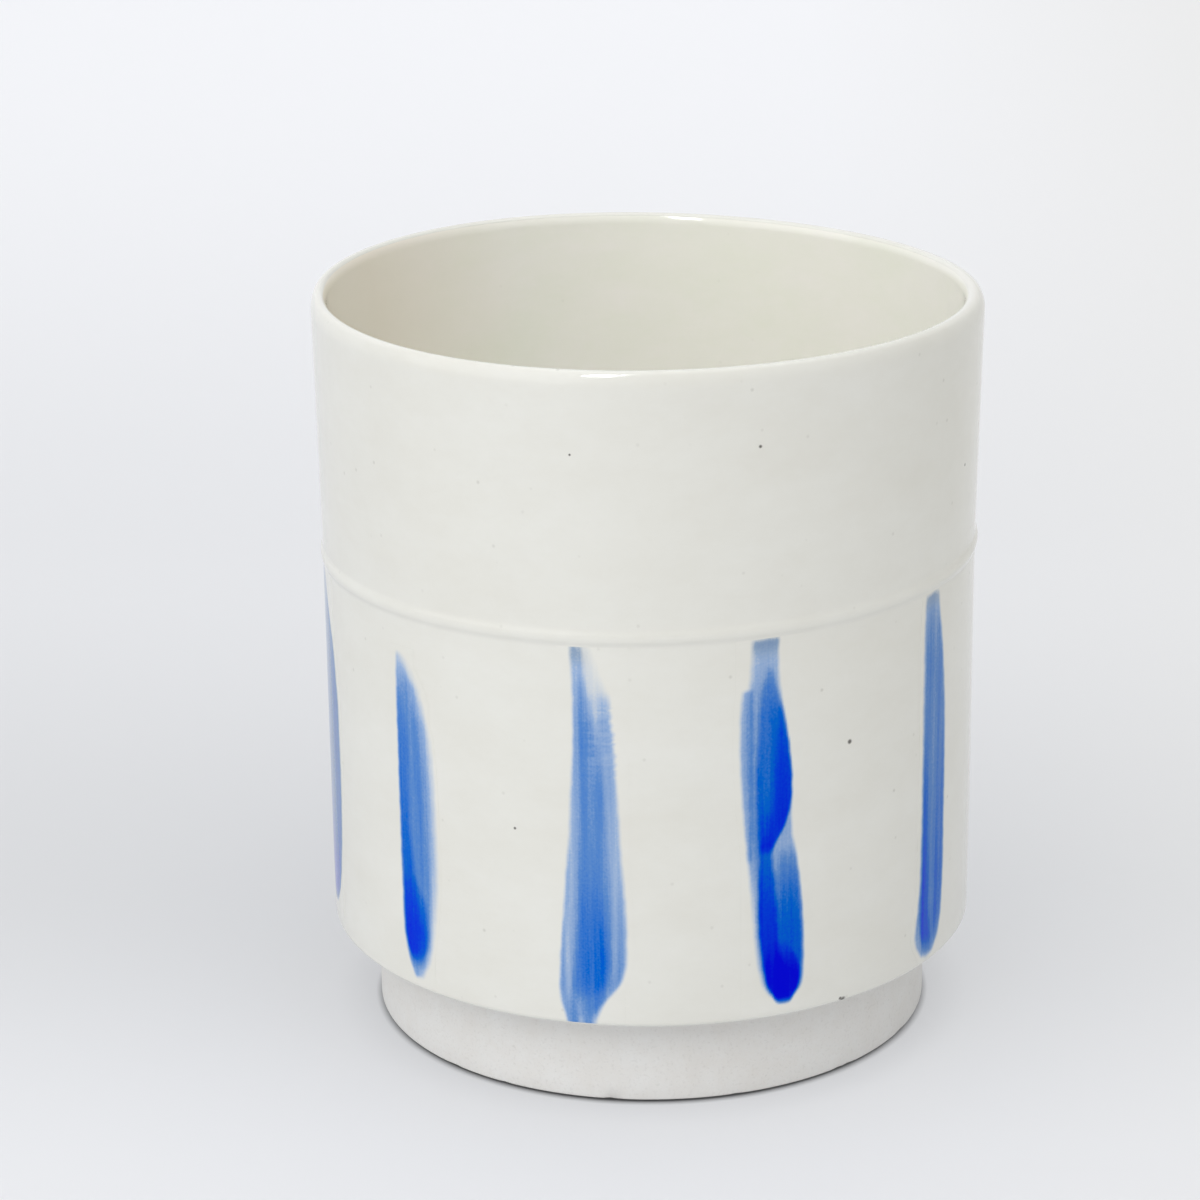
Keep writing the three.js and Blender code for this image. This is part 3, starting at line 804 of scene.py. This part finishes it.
def pigment_at(passes, head, dry, seed, x, z):
    """Pigment laid at x mm across and z mm up, from none to the deepest"""
    # where the brush ran dry its hairs skipped, so the right edge is ragged and combed with level lines
    dryness = ease((z - dry[0]) / 5) * ease((dry[1] - z) / 1.5) if dry else 0 * z
    skips = np.sin(6.1 * z + 2.0 * np.sin(1.7 * z + 0.5 * x)) * np.sin(2.3 * z + seed)
    bare = np.ones_like(z)
    for left_soft, right_soft, fade, *stations in passes:
        left = at_height(stations, 1, z) + SIDE_WANDER * ruffle(z, seed)
        right = at_height(stations, 2, z) + SIDE_WANDER * ruffle(z, seed + 1) + DRY_WANDER * dryness * skips
        load = at_height(stations, 3, z)
        inside = ease((x - left) / left_soft + 0.5) * ease((right - x) / right_soft + 0.5)
        ends = ease((stations[0][0] - z) / fade + 0.5) * ease((z - stations[-1][0]) / fade + 0.5)
        bare *= 1 - load * inside * ends
    brow = head + HEAD_WANDER * ruffle(0.8 * x, seed)
    pigment = np.clip(1 - bare, 0, 1) * ease((brow - z) / HEAD_SOFT + 0.5)
    return pigment * (1 - DRY_SKIPS * dryness * (1 + skips) * ease((x + 1.6) / 1.6))


class MUG_OT_brush_strokes(bpy.types.Operator):
    """Lay the cobalt brush strokes round the wall below the bead"""
    bl_idname = "mug.brush_strokes"
    bl_label = "Brush strokes"

    def execute(self, context):
        form = context.scene.mug_form
        material = cobalt_material(context.scene.mug_finish)
        radius = form.wall_radius + form.film
        ledge, corner = form.ledge_height / MM, form.ledge_round / MM
        for number, (passes, side, head, degrees, dry, dull) in enumerate(STROKES, 1):
            laid = [p[3:] for p in passes if p[3][3] >= 0]
            bottom = max(laid[0][-1][0] - FEATHER, ledge + BARE_CORNER * corner)
            top = min(head, laid[0][0][0]) + FEATHER
            bm = bmesh.new()
            bmesh.ops.create_grid(bm, x_segments=STROKE_COLUMNS, size=0.5,
                                  y_segments=int((top - bottom) * MM / STROKE_CELL))
            across, along = np.array([(v.co.x + 0.5, v.co.y + 0.5) for v in bm.verts]).T
            z = bottom + along * (top - bottom)
            left = np.min([at_height(stations, 1, z) for stations in laid], axis=0) - FEATHER
            right = np.max([at_height(stations, 2, z) for stations in laid], axis=0) + FEATHER
            around = math.radians(degrees) + side * (left + across * (right - left)) * MM / radius
            # the film follows the wall down round the glazed corner over the ledge
            tuck = np.clip(1 - (z - ledge) / corner, 0, 1)
            reach = radius - form.ledge_round * (1 - np.sqrt(1 - tuck ** 2))
            wrapped = np.stack([reach * np.sin(around), -reach * np.cos(around), z * MM], axis=1)
            for vert, place in zip(bm.verts, wrapped):
                vert.co = place
            if side < 0:
                bmesh.ops.reverse_faces(bm, faces=bm.faces[:])
            bm.normal_update()
            bmesh.ops.solidify(bm, geom=bm.faces[:], thickness=form.glaze / 2)
            name = f"brush_stroke_{number:02d}"
            piece = finish_piece(context, bm, f"{name}_wash", name, material)
            points = piece_points(piece)
            turn = np.arctan2(points[:, 0], -points[:, 1]) - math.radians(degrees)
            x = side * (np.mod(turn + math.pi, 2 * math.pi) - math.pi) * radius / MM
            z = points[:, 2] / MM
            pigment = pigment_at(passes, head, dry, number, x, z)
            brush = np.stack([x, z, np.full_like(x, STROKES_APART * number)], axis=1)
            # grey of each stroke, painted shade on the first one, and grey heads under the bead
            near_bead = z - form.bead_height / MM + HEAD_DULL_BELOW
            dulled = np.maximum(dull, HEAD_DULL * ease(near_bead / HEAD_DULL_FADE))
            for layer_name, kind, field, values in (
                    ("pigment", "FLOAT", "value", pigment),
                    ("dull", "FLOAT", "value", dulled),
                    ("brush", "FLOAT_VECTOR", "vector", brush)):
                layer = piece.data.attributes.new(layer_name, kind, "POINT")
                layer.data.foreach_set(field, values.astype(np.float32).ravel())
            settle_piece(form, piece)
        return {"FINISHED"}


# Paper sweep, in metres: its front edge, where it rises, the radius of the rise, its top and its width
SWEEP_FRONT, SWEEP_RISE, SWEEP_ROUND, SWEEP_TOP, SWEEP_WIDTH = -1.5, 0.22, 0.5, 2.0, 4
# Lights: place, target and size in metres, the property with the power, and the colour
MIDDLE = (0, 0, 0.05)
WHITE = (1, 1, 1)
LIGHTS = {
    "key_softbox": ((-0.68, -0.47, 0.58), MIDDLE, (1.2, 1.0), "key_power", (0.985, 0.99, 1)),
    "front_fill": ((-0.1, -0.75, 0.75), MIDDLE, (0.9, 0.5), "fill_power", WHITE),
    "top_softbox": ((0, 0.05, 1.0), MIDDLE, (0.8, 0.8), "top_power", WHITE),
    "back_light": ((0, 0.3, 0.9), (0, 0.75, 0.15), (1.2, 0.3), "back_power", (0.97, 0.985, 1)),
    "paper_light": ((0.05, -0.3, 1.05), (0, 0, 0), (1.2, 0.9), "paper_power", WHITE),
    "window": ((-0.17, -0.5, 0.75), MIDDLE, (0.14, 0.4), "window_power", WHITE),
}
# Two lights leave out the paper, so that no shadow lies beside the mug, and one for the paper makes up for it
PAPER_LINKS = {"key_softbox": "EXCLUDE", "front_fill": "EXCLUDE", "paper_light": "INCLUDE"}
# Camera: width of the sensor in mm, and the nearest it sees in metres
SENSOR_WIDTH = 36
NEAREST = 0.01


def lay_paper(context):
    """Lay a wide sheet of paper that rises in a curve behind the mug"""
    bm = draw_section((SWEEP_FRONT, 0), (SWEEP_RISE, 0), (SWEEP_RISE, SWEEP_ROUND, 90, 16),
                      (SWEEP_RISE + SWEEP_ROUND, SWEEP_TOP))
    bmesh.ops.rotate(bm, verts=bm.verts, cent=(0, 0, 0), matrix=Matrix.Rotation(math.pi / 2, 3, "Z"))
    bmesh.ops.translate(bm, verts=bm.verts, vec=(-SWEEP_WIDTH / 2, 0, 0))
    sheet = bmesh.ops.extrude_edge_only(bm, edges=bm.edges[:])
    swept = [g for g in sheet["geom"] if isinstance(g, bmesh.types.BMVert)]
    bmesh.ops.translate(bm, verts=swept, vec=(SWEEP_WIDTH, 0, 0))
    bmesh.ops.recalc_face_normals(bm, faces=bm.faces)
    mesh = bpy.data.meshes.new("paper_sweep")
    bm.to_mesh(mesh)
    bm.free()
    mesh.shade_smooth()
    mesh.materials.append(paper_material(context.scene.mug_form, context.scene.mug_stage))
    paper = bpy.data.objects.new("paper_sweep", mesh)
    context.collection.objects.link(paper)
    return paper


def hang_lights(context, paper):
    """Light the room from all round, and hang soft lights that face their targets"""
    stage = context.scene.mug_stage
    world = context.scene.world = bpy.data.worlds.new("soft_room")
    world.use_nodes = True
    tree = world.node_tree
    fill_inputs(tree, tree.nodes["Background"], {"Color": rgba(stage.sky), "Strength": stage.sky_strength})
    lights = {}
    for name, (place, target, size, watts, tone) in LIGHTS.items():
        lamp = bpy.data.lights.new(name, "AREA")
        lamp.shape = "RECTANGLE"
        lamp.size, lamp.size_y = size
        lamp.energy = getattr(stage, watts)
        lamp.color = tone
        light = bpy.data.objects.new(name, lamp)
        light.location = place
        light.rotation_euler = (Vector(target) - Vector(place)).to_track_quat("-Z", "Y").to_euler()
        context.collection.objects.link(light)
        lights[name] = light
    lights["front_fill"].visible_glossy = False
    lights["window"].visible_diffuse = False
    for name, state in PAPER_LINKS.items():
        reached = bpy.data.collections.new(f"{name}_reach")
        reached.objects.link(paper)
        reached.collection_objects[0].light_linking.link_state = state
        lights[name].light_linking.receiver_collection = reached


def place_camera(context):
    """Place the camera where the photographer stood"""
    scene, stage = context.scene, context.scene.mug_stage
    lens = bpy.data.cameras.new("camera")
    lens.lens = stage.lens
    lens.sensor_width = SENSOR_WIDTH
    lens.clip_start = NEAREST
    camera = bpy.data.objects.new("camera", lens)
    camera.matrix_world = (Matrix.Translation((0, -stage.camera_distance, stage.camera_height))
                           @ Matrix.Rotation(stage.camera_yaw, 4, "Z")
                           @ Matrix.Rotation(math.pi / 2 - stage.camera_pitch, 4, "X")
                           @ Matrix.Rotation(stage.camera_roll, 4, "Z"))
    context.collection.objects.link(camera)
    scene.camera = camera
    scene.view_settings.view_transform = "Standard"


class MUG_OT_stage(bpy.types.Operator):
    """Set up the floor, the lights and the camera"""
    bl_idname = "mug.stage"
    bl_label = "Stage"

    def execute(self, context):
        hang_lights(context, lay_paper(context))
        place_camera(context)
        return {"FINISHED"}


class MUG_PT_panel(bpy.types.Panel):
    """Builds the mug piece by piece"""
    bl_idname = "MUG_PT_panel"
    bl_label = "Stacking mug"
    bl_space_type = "VIEW_3D"
    bl_region_type = "UI"
    bl_category = "Mug"

    def draw(self, context):
        for operator in OPERATORS:
            self.layout.operator(operator.bl_idname)


OPERATORS = (MUG_OT_clay_body, MUG_OT_liner_glaze, MUG_OT_outer_glaze, MUG_OT_brush_strokes, MUG_OT_stage)
GROUPS = {"mug_form": MugForm, "mug_finish": MugFinish, "mug_stage": MugStage}
CLASSES = (*GROUPS.values(), *OPERATORS, MUG_PT_panel)


def register():
    for item in CLASSES:
        bpy.utils.register_class(item)
    for name, group in GROUPS.items():
        setattr(bpy.types.Scene, name, PointerProperty(type=group))


def unregister():
    for name in GROUPS:
        delattr(bpy.types.Scene, name)
    for item in reversed(CLASSES):
        bpy.utils.unregister_class(item)


def main():
    register()
    bpy.ops.mug.clay_body()
    bpy.ops.mug.liner_glaze()
    bpy.ops.mug.outer_glaze()
    bpy.ops.mug.brush_strokes()
    bpy.ops.mug.stage()


if __name__ == "__main__":
    main()
